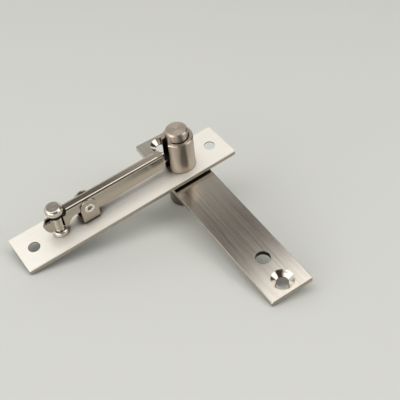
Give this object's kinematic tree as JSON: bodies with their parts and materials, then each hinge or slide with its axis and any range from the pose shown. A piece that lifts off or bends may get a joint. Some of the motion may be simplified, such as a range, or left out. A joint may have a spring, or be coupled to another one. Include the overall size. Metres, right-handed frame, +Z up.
{
  "type": "concealed pivot hinge",
  "caption": "Concealed pivot hinge for a door head: a lever and screw on the frame plate lower a housed pin into the socket of a door plate that turns beneath it.",
  "frame": {"origin": "midway between the frame plate's two screw holes, on the plate's top face, which bears on the door head", "axes": "+Z up into the door head, along the pivot pin; +X along the frame plate, from the screw end towards the pivot"},
  "size_m": [0.13, 0.1309, 0.0546],
  "materials": {
    "plate_steel": "satin brushed stainless bar",
    "turned_steel": "bright turned stainless",
    "lever_steel": "folded stainless sheet, tumbled",
    "bush_bronze": "machined bearing bronze"
  },
  "bodies": {
    "frame": {"frame_plate": "plate_steel", "pin_housing": "turned_steel", "fulcrum_bracket": "lever_steel", "fulcrum_rivet": "turned_steel", "threaded_bush": "turned_steel"},
    "door_leaf": {"door_plate": "plate_steel", "pin_socket": "turned_steel", "bearing_bush": "bush_bronze"},
    "pin": {"pivot_pin": "turned_steel"},
    "lever": {"lever": "lever_steel"},
    "washer": {"screw_washer": "turned_steel"},
    "screw": {"adjusting_screw": "turned_steel"}
  },
  "joints": [
    {"name": "door_swing", "type": "hinge", "parent": "frame", "child": "door_leaf", "pos_m": [0.036, 0, 0], "axis": [0, 0, 1], "continuous": true},
    {"name": "washer_lift", "type": "slide", "parent": "frame", "child": "washer", "axis": [0, 0, 1], "range_m": [-0.00166, 0.00166]},
    {"name": "screw_turn", "type": "hinge", "parent": "washer", "child": "screw", "pos_m": [-0.0401, 0, 0], "axis": [0, 0, 1], "range_deg": [-746.3, 746.3]},
    {"name": "lever_tilt", "type": "hinge", "parent": "frame", "child": "lever", "pos_m": [-0.023, 0, 0.01], "axis": [0, 1, 0], "range_deg": [-5.56, 5.56]},
    {"name": "pin_slide", "type": "slide", "parent": "frame", "child": "pin", "axis": [0, 0, 1], "range_m": [-0.00572, 0.00572]}
  ],
  "couplings": [
    {"joint": "lever_tilt", "follows": "pin_slide", "rad_per_m": -16.949},
    {"joint": "washer_lift", "follows": "pin_slide", "ratio": -0.28983},
    {"joint": "screw_turn", "follows": "pin_slide", "rad_per_m": -2276.3}
  ]
}
